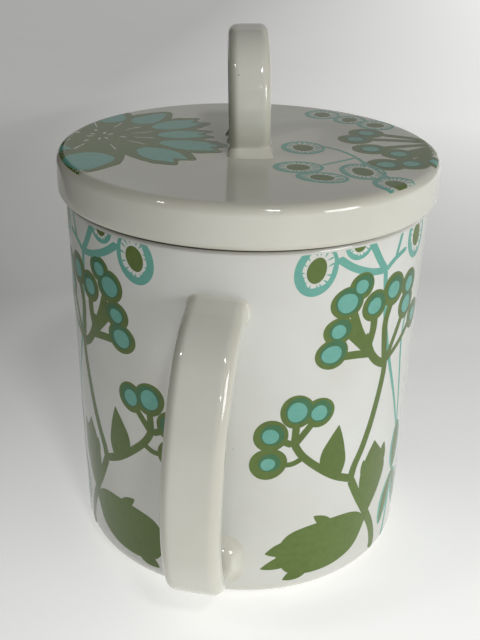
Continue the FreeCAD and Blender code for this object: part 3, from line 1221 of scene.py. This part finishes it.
    def finish(self, body: str) -> None:
        """Makes one piece of each ink and puts it on the body."""
        slots = {Ink.OLIVE: "olive_print", Ink.GREEN: "green_print", Ink.TURQUOISE: "turquoise_print",
                 Ink.GAP: f"{body}_glaze"}
        for ink, shell in self.shells.items():
            piece = shell.object(sharp_angle=30)
            piece.data.materials.append(ink.value.material())
            settle(piece, body, slots[ink])


@dataclass
class WallPattern:
    """Print round the pot: pairs of berry sprigs with ring flowers above, and a daisy at the back.

    Pattern coordinates are millimetres round the wall from under the handle, and height.
    """

    crock: Crock
    unrolled: float = 56.0         # radius at which distances round the wall are true
    highest: float = 119.4
    lowest: float = 5.0
    middle: float = 2.6            # the front pair's mirror line, a little to the right of the handle
    spread: float = 14.0           # how much further apart the back pair stands

    def on_wall(self, spots: np.ndarray, lift: float) -> np.ndarray:
        """Points on the wall: angle = across / unrolled, radius = the wall's outside + lift."""
        angle, height = spots[:, 0] / self.unrolled, spots[:, 1]
        radius = self.crock.outside(angle, height) + lift
        return np.stack([radius * np.sin(angle), -radius * np.cos(angle), height], axis=-1)

    def trim(self, spots: np.ndarray) -> np.ndarray:
        """Pattern coordinates kept between the print's lowest and highest edge."""
        return np.stack([spots[:, 0], spots[:, 1].clip(self.lowest, self.highest)], axis=-1)

    def sprig(self, ink: Print, place: Place) -> None:
        """One olive sprig: a stem that forks into a low branch of four berries and a tall umbel."""
        for points, start, end in (
                ([(58.4, 5.6), (59.2, 9), (57.4, 15.5), (52.8, 24), (47.8, 32.3), (43.6, 40.5)], 3.3, 3.1),
                ([(43.8, 39.5), (44.8, 44.2), (48, 50.7), (51.4, 60), (54.4, 72), (55, 79)], 3.0, 2.6),
                ([(44.2, 40.2), (37, 43.8), (30.5, 48.7), (25, 54), (22, 59)], 2.8, 2.4),
                ([(22.3, 58), (22.8, 67)], 2.3, 2.4), ([(22.3, 58), (28.6, 66)], 2.3, 2.2),
                ([(22.3, 58), (16.5, 61)], 2.3, 2.2), ([(25.6, 53.2), (21.5, 51.4), (17, 52)], 1.9, 1.7),
                ([(55, 77.4), (50.2, 80.4), (46.8, 84.8), (45, 91)], 2.8, 3.0),
                ([(47.6, 83.6), (41, 85), (33, 86)], 2.6, 2.6), ([(47, 84), (41, 90), (36, 95)], 3.0, 3.0),
                ([(46, 86), (47.4, 92), (47.2, 98)], 2.8, 3.0),
                ([(46.6, 85), (42, 92), (38.6, 100)], 3.0, 2.8),
                ([(54.6, 77.8), (53.4, 86), (53, 92.5), (55.2, 99)], 2.6, 2.8),
                ([(55, 78.4), (59.4, 86), (64, 94)], 2.2, 2.4),
                ([(55, 78.4), (63, 82.5), (71, 88)], 2.0, 2.2)):
            ink.stem(Ink.OLIVE, points, start, end, place)
        for centre, radius, eye, squash in (
                ((41.4, 107), 4.2, 0.5, 1.1), ((65.4, 101), 4.8, 0.5, 1.0), ((72.4, 88.2), 5.0, 0.45, 1.0),
                ((47.2, 99.4), 4.9, 0.52, 1.05), ((34.4, 94.2), 4.5, 0.48, 1.14),
                ((55.8, 102.2), 5.4, 0.5, 1.04), ((64.6, 94.5), 5.0, 0.55, 1.0),
                ((36.7, 102.8), 5.1, 0.6, 1.12), ((32.6, 87.2), 4.9, 0.58, 1.14),
                ((29.9, 68.2), 5.1, 0.52, 0.96), ((22.8, 69.6), 5.6, 0.58, 0.97), ((15, 62), 5.3, 0.47, 1.02),
                ((14.5, 52.2), 5.5, 0.38, 1.06)):
            ink.berry(centre, radius, place, eye, squash)
        self.leaves(ink, place)

    def leaves(self, ink: Print, place: Place) -> None:
        """The sprig's three leaves: a small upright one, a notched one, and a broad toothed one."""
        olive = Ink.OLIVE
        ink.leaf(olive, [(33, 45.6), (31.2, 49.5), (31.8, 54), (34.6, 58.6), (37.1, 62)],
                 [(39.4, 43.2), (40.8, 48), (40.1, 53), (38.8, 58), (37.3, 62)], place)
        ink.leaf(olive, [(53, 23), (49.4, 30), (48.2, 37.5), (49.8, 44), (53.9, 50.2)],
                 [(54.4, 23), (59.6, 30), (62.4, 37), (60.2, 43), (54.4, 50.2)], place)
        ink.blade(olive, [(59, 36), (60.7, 47)], 2.6, 2.4, place, belly=0.9)
        ink.blade(olive, [(50.8, 37), (49.2, 45)], 1.8, 1.8, place, belly=0.9)
        ink.leaf(olive, [(53.4, 21.6), (48.5, 25.6), (42, 27.4), (31.5, 27.4), (22.4, 25.2), (17.6, 19)],
                 [(53.4, 20.6), (48.5, 12.8), (40.2, 9.2), (30, 8.4), (22.6, 10), (18.8, 14.5)], place)
        for points, left, right, belly in (([(24, 20.5), (14.6, 18.4)], 2.8, 2.6, 0.7),
                                           ([(24, 16), (13.2, 12.6)], 2.4, 2.2, 0.7),
                                           ([(30, 11.6), (20.8, 7.4)], 2.6, 2.4, 0.8),
                                           ([(38, 24.6), (34, 27.6), (30.4, 30.4)], 1.9, 1.9, 0.8)):
            ink.blade(olive, points, left, right, place, belly=belly)

    def ring_plant(self, ink: Print, place: Place) -> None:
        """The turquoise plant behind a sprig: ring flowers on arching stems, and slim leaves by the foot."""
        blue = Ink.TURQUOISE
        for points, start, end, layer in (
                ([(50.4, 109.8), (44.2, 110.8), (37.8, 113.4), (32.2, 117.2)], 2.1, 2.4, Layer.BASE),
                ([(50.6, 109.6), (47.6, 113.5), (44.9, 117.8), (43, 121)], 2.3, 2.4, Layer.BASE),
                ([(50.4, 109.6), (54.6, 112.2), (60.6, 114)], 1.7, 1.5, Layer.BASE),
                ([(54.8, 112.4), (56, 116), (57.4, 121)], 1.3, 1.2, Layer.BASE),
                ([(50.4, 110), (51, 105), (53, 92), (57.4, 78), (64.6, 61), (70.6, 47)], 1.9, 1.2,
                 Layer.UNDER),
                ([(66, 92), (64.6, 82), (68, 63), (71, 47)], 1.1, 1.2, Layer.UNDER),
                ([(71, 48), (71.4, 31), (69.6, 14), (67.6, 5.5)], 1.3, 1.9, Layer.UNDER)):
            ink.stem(blue, points, start, end, place, layer)
        ink.ring_flower((26, 114.4), (6.4, 7.9), -16, place, stroke=2.0)
        ink.ring_flower((39.2, 120.2), (4.8, 4.6), 0, place, stroke=1.1, rays=13)
        ink.ring_flower((66.8, 116.2), (5.8, 7.4), 8, place, stroke=1.5)
        border = 1.7                   # turquoise left round a slim leaf's olive
        for middle, tip, wide in (((71.6, 40), (71.2, 50), 4.6), ((67, 23), (63.6, 12.5), 4.0),
                                  ((76, 23), (78.6, 13), 4.0)):
            ink.blade(blue, [(71.2, 30.5), middle, tip], wide, wide, place, fullness=0.6)
            ink.blade(Ink.OLIVE, [(71.2, 30.8), middle, tip], wide - border, wide - border, place, Layer.RING)

    def back_daisy(self, ink: Print) -> None:
        """The daisy on its own stem, half way round from the handle."""
        half_way = math.pi * self.unrolled + self.middle
        place = Place(half_way, 88, scale=0.62)
        petals = [(36 * k + 4, 36.0 + 3 * (k % 2), 9.0 + 0.6 * (k % 3), 2) for k in range(11)]
        foot = Place(half_way)
        ink.stem(Ink.OLIVE, [(1.5, 5.5), (0.4, 28), (-0.6, 50), (0, 84)], 2.8, 2.2, foot)
        ink.blade(Ink.OLIVE, [(1, 14), (-9, 24), (-17, 38)], 5.4, 5.4, foot, belly=1.0, fullness=0.7)
        ink.blade(Ink.OLIVE, [(1, 10), (11, 18), (20, 29)], 5.4, 5.4, foot, belly=1.0, fullness=0.7)
        ink.daisy(place, petals, heart=9.0)

    def build(self) -> None:
        """Lays the pattern all round the pot."""
        ink = Print("wall_print", self.on_wall, self.trim)
        half_way = math.pi * self.unrolled
        for mirrored in (False, True):
            outwards = self.spread if not mirrored else -self.spread
            front = Place(self.middle, mirrored=mirrored)
            back = Place(self.middle + half_way + outwards, mirrored=mirrored)
            for place in (front, back):
                self.ring_plant(ink, place)
                self.sprig(ink, place)
        self.back_daisy(ink)
        ink.finish("crock")


@dataclass
class LidPattern:
    """Print on the lid: half a daisy at one side, and ring flowers and berries at the other.

    Pattern coordinates are X and Y; past the flat top they are measured over the rounded edge.
    """

    lid: Lid
    border: float = 59.2           # the transfer was trimmed just over the edge

    def on_lid(self, spots: np.ndarray, lift: float) -> np.ndarray:
        """Points on the lid's top and over its edge.

        Out to the flat's end the height is the top's. Past it, the distance left runs round the edge's
        quarter circle: radius = flat + round * sin(turn), height = top - round * (1 - cos(turn)).
        """
        flat, rounding = self.lid.radius - self.lid.top_round, self.lid.top_round
        out = np.hypot(spots[:, 0], spots[:, 1])
        turn = np.clip(out - flat, 0, rounding * math.pi / 2) / rounding
        angle = np.arctan2(spots[:, 0], -spots[:, 1])
        wider = self.lid.uneven(angle, 0 * angle) * np.clip(out / FADE_RADIUS, 0, 1)
        radius = np.minimum(out, flat) + (rounding + lift) * np.sin(turn) + wider
        height = self.lid.top - rounding + (rounding + lift) * np.cos(turn)
        return np.stack([radius * np.sin(angle), -radius * np.cos(angle), height], axis=-1)

    def trim(self, spots: np.ndarray) -> np.ndarray:
        """Pattern coordinates kept inside the border circle."""
        out = np.maximum(np.hypot(spots[:, 0], spots[:, 1]), 1e-6)
        return spots * np.minimum(1, self.border / out)[:, None]

    def flowers(self, ink: Print, place: Place) -> None:
        """Ring flowers on arching stems beside the loop, and a row of three near the back edge."""
        blue = Ink.TURQUOISE
        for points in ([(34.4, -5.8), (29, 0.5), (23, 4.5)], [(34.4, -5.8), (29.5, -11.5), (24.5, -17)],
                       [(34.4, -5.8), (36.4, -10.5), (37.4, -16)], [(34.2, -6.2), (39.6, -15), (45.6, -26)]):
            ink.stem(blue, points, 1.1, 1.0, place)
        for centre, half, tilt in (((17, 1.3), (6.9, 7.3), 20), ((18.2, -20.4), (7.6, 6.0), 8),
                                   ((26.2, -29), (7.8, 5.2), -4), ((37.2, -20.4), (6.6, 8.2), 30),
                                   ((47.4, -30.6), (6.6, 7.2), 40)):
            ink.ring_flower(centre, half, tilt, place, stroke=1.3, rays=23)
        for centre, half, tilt in (((18.4, 46), (6.2, 6.4), 0), ((28.4, 41), (5.6, 6.0), -30),
                                   ((37.6, 35.6), (6.6, 6.0), -40)):
            ink.ring_flower(centre, half, tilt, place, stroke=1.2, rays=17)

    def berries(self, ink: Print, place: Place) -> None:
        """A cluster of berries whose stems come in over the edge."""
        root = (61, 16.5)
        for tip in ((35.5, 24), (33, 16), (38, 5), (47, 1), (44, -11.5), (50.5, -9.5)):
            bend = ((root[0] + tip[0]) / 2 + 1, (root[1] + tip[1]) / 2 + 1.2)
            ink.stem(Ink.OLIVE, [root, bend, tip], 2.6, 3.2, place)
        for centre, radius in (((58.6, -4.4), 5.2), ((35.4, 24.2), 5.8), ((32.4, 15.6), 5.6),
                               ((38, 4.8), 5.8), ((46.8, 1.2), 5.6), ((43.6, -11.4), 6.0),
                               ((51, -8.8), 5.6)):
            ink.berry(centre, radius, place, eye=0.45)

    def build(self) -> None:
        """Lays the pattern on the lid."""
        ink = Print("lid_print", self.on_lid, self.trim)
        place = Place()
        petals = [(130, 28, 7.5, 2), (97, 33, 7.5, 2), (69, 39, 7.4, 1), (44, 40, 8.0, 2),
                  (17, 37, 7.4, 2), (-8, 43, 8.0, 2), (-35, 41, 8.4, 2), (-81, 41, 10.5, 1),
                  (-122, 30, 8.5, 1), (-158, 24, 7.5, 2)]
        ink.daisy(Place(-48.2, -0.4), petals, heart=8.0)
        self.flowers(ink, place)
        self.berries(ink, place)
        ink.finish("lid")


# --- Studio ---------------------------------------------------------------------------------------------


@dataclass
class Studio:
    """Pale floor, soft light and the camera."""

    lens: float = 59.06
    stand_off: float = 323.1       # millimetres from the pot's axis, level
    eye_height: float = 222.7
    azimuth: float = 9.2           # degrees round from the handle towards +X
    tilt_down: float = 24.695
    aim_left: float = 0.275
    roll: float = 1.266
    patch: tuple[float, float, float] = (0.10, -0.22, 0.0)
    patch_glow: float = 0.60
    far_glow: float = 0.80
    left_share: float = 0.30
    patch_reach: tuple[float, float] = (0.46, 0.10)    # metres from the patch where its glow starts, is full
    far_reach: tuple[float, float] = (0.05, 0.60)      # metres behind the axis, for the glow behind
    side_reach: tuple[float, float] = (-0.25, 0.28)    # metres across, from the dimmer left to the right
    nearest: float = 0.25                              # share of the glow behind that reaches the front

    def camera(self) -> None:
        """Stands the camera off the pot at its azimuth, aimed down, a little aside and a little rolled."""
        pitch, yaw = math.radians(self.tilt_down), math.radians(self.azimuth + self.aim_left)
        ahead = Vector((-math.sin(yaw) * math.cos(pitch), math.cos(yaw) * math.cos(pitch),
                        -math.sin(pitch)))
        level = Vector((math.cos(yaw), math.sin(yaw), 0))
        above = level.cross(ahead)
        roll = math.radians(self.roll)
        right = level * math.cos(roll) + above * math.sin(roll)
        up = above * math.cos(roll) - level * math.sin(roll)
        data = bpy.data.cameras.new("camera")
        data.lens = self.lens
        data.sensor_width = 36.0
        data.clip_start, data.clip_end = 0.01, 50.0
        camera = bpy.data.objects.new("camera", data)
        bearing = math.radians(self.azimuth)
        spot = Vector((self.stand_off * math.sin(bearing), -self.stand_off * math.cos(bearing),
                       self.eye_height))
        axes = Matrix((right, up, -ahead)).transposed().to_4x4()
        camera.matrix_world = Matrix.Translation(spot * MM) @ axes
        bpy.context.scene.collection.objects.link(camera)
        bpy.context.scene.camera = camera

    def floor(self) -> None:
        """A sheet of pale paper that lies flat under the pot.

        Light from the room is stood in for by a soft glow of its own: a patch at the front right, plus a
        wash that grows towards the back and is weaker at the left.
        """
        size = 6.0
        mesh = bpy.data.meshes.new("floor")
        corners = [(-size, -size, 0), (size, -size, 0), (size, size, 0), (-size, size, 0)]
        mesh.from_pydata(corners, [], [(0, 1, 2, 3)])
        floor = bpy.data.objects.new("floor", mesh)
        bpy.context.scene.collection.objects.link(floor)
        material, place = new_material("paper")
        tree = material.node_tree
        noise = add_node(tree, "ShaderNodeTexNoise", {"Scale": per_metre(60), "Detail": 2.0},
                         {"Vector": place})
        tone = add_node(tree, "ShaderNodeMix",
                        {"data_type": "RGBA", 6: linear("#D2D1CD"), 7: linear("#CDCBC7")},
                        {0: noise.outputs[0]})
        axes = add_node(tree, "ShaderNodeSeparateXYZ", links={0: place})
        away = add_node(tree, "ShaderNodeVectorMath", {"operation": "DISTANCE", 1: self.patch}, {0: place})
        near = add_node(tree, "ShaderNodeMapRange",
                        {1: self.patch_reach[0], 2: self.patch_reach[1], 3: 0.0, 4: self.patch_glow},
                        {0: away.outputs["Value"]})
        far = add_node(tree, "ShaderNodeMapRange",
                       {1: self.far_reach[0], 2: self.far_reach[1], 3: self.nearest * self.far_glow,
                        4: self.far_glow}, {0: axes.outputs["Y"]})
        right = add_node(tree, "ShaderNodeMapRange",
                         {1: self.side_reach[0], 2: self.side_reach[1], 3: self.left_share, 4: 1.0},
                         {0: axes.outputs["X"]})
        behind = add_node(tree, "ShaderNodeMath", {"operation": "MULTIPLY"},
                          {0: far.outputs[0], 1: right.outputs[0]})
        glow = add_node(tree, "ShaderNodeMath", {"operation": "ADD"},
                        {0: near.outputs[0], 1: behind.outputs[0]})
        shader = add_node(tree, "ShaderNodeBsdfPrincipled",
                          {"Roughness": 0.9, "Emission Color": linear("#FEFFFF")},
                          {"Base Color": tone.outputs[2], "Emission Strength": glow.outputs[0]})
        add_node(tree, "ShaderNodeOutputMaterial", links={"Surface": shader.outputs[0]})
        mesh.materials.append(material)

    def flag(self) -> None:
        """A dark card that keeps light off the pot's left side; only reflections show it."""
        mesh = bpy.data.meshes.new("flag")
        left, front, back, low, high = -0.34, -0.60, 0.40, 0.01, 0.42
        corners = [(left, front, low), (left, back, low), (left, back, high), (left, front, high)]
        mesh.from_pydata(corners, [], [(0, 1, 2, 3)])
        flag = bpy.data.objects.new("flag", mesh)
        bpy.context.scene.collection.objects.link(flag)
        material, place = new_material("dark_card")
        tree = material.node_tree
        noise = add_node(tree, "ShaderNodeTexNoise", {"Scale": per_metre(40)}, {"Vector": place})
        tone = add_node(tree, "ShaderNodeMix",
                        {"data_type": "RGBA", 6: linear("#2C2B29"), 7: linear("#33322F")},
                        {0: noise.outputs[0]})
        shader = add_node(tree, "ShaderNodeBsdfPrincipled", {"Roughness": 0.9},
                          {"Base Color": tone.outputs[2]})
        add_node(tree, "ShaderNodeOutputMaterial", links={"Surface": shader.outputs[0]})
        mesh.materials.append(material)
        flag.visible_camera = False

    def lamp(self, name: str, spot: tuple[float, float, float], aim: tuple[float, float, float],
             size: tuple[float, float], watts: float, colour: str) -> None:
        """Hangs a soft rectangular light.

        Args:
            name: its name.
            spot: where it hangs, in metres.
            aim: the point it faces, in metres.
            size: its width and height, in metres.
            watts: its power.
            colour: its sRGB colour.
        """
        data = bpy.data.lights.new(name, "AREA")
        data.shape = "RECTANGLE"
        data.size, data.size_y = size
        data.energy = watts
        data.color = linear(colour)[:3]
        lamp = bpy.data.objects.new(name, data)
        lamp.location = spot
        lamp.rotation_mode = "QUATERNION"
        lamp.rotation_quaternion = (Vector(aim) - Vector(spot)).to_track_quat("-Z", "Y")
        bpy.context.scene.collection.objects.link(lamp)

    def lights(self) -> None:
        """A window at the right, a pale panel behind, two small lamps overhead, a door, and a dim room."""
        self.lamp("window", (1.20, -0.62, 0.26), (0, 0, 0.03), (0.5, 0.4), 7.3, "#FDFEFF")
        self.lamp("backdrop", (0.2, 1.60, 0.76), (0, 0, 0.12), (2.4, 1.5), 4.4, "#F6F6F4")
        self.lamp("ceiling_lamp_right", (0.48, -0.98, 1.25), (0, 0, 0.13), (0.16, 0.16), 4.6, "#FFFFFF")
        self.lamp("ceiling_lamp_left", (-0.95, -0.80, 1.25), (0, 0, 0.13), (0.12, 0.12), 1.9, "#FFFFFF")
        self.lamp("door", (0.49, -1.36, 0.58), (0, 0, 0.13), (0.10, 0.05), 0.6, "#FFFFFF")
        world = bpy.data.worlds.new("room")
        world.use_nodes = True
        tree = world.node_tree
        tree.nodes.clear()
        room = add_node(tree, "ShaderNodeBackground", {"Color": linear("#C9C7C3"), "Strength": 0.11})
        add_node(tree, "ShaderNodeOutputWorld", links={"Surface": room.outputs[0]})
        bpy.context.scene.world = world
        bpy.context.scene.view_settings.view_transform = "Standard"   # keeps the glaze's and inks' contrast

    def build(self) -> None:
        """Sets up the studio."""
        self.camera()
        self.floor()
        self.flag()
        self.lights()


def main() -> None:
    """Builds the studio, then the pot, its handle, the lid, its loop and the print."""
    logging.basicConfig(level=logging.INFO, format="%(name)s: %(message)s")
    Studio().build()
    crock = Crock()
    crock.build()
    SideHandle(crock).build()
    lid = Lid(crock)
    lid.build()
    LidLoop(lid).build()
    WallPattern(crock).build()
    LidPattern(lid).build()


if __name__ == "__main__":
    main()
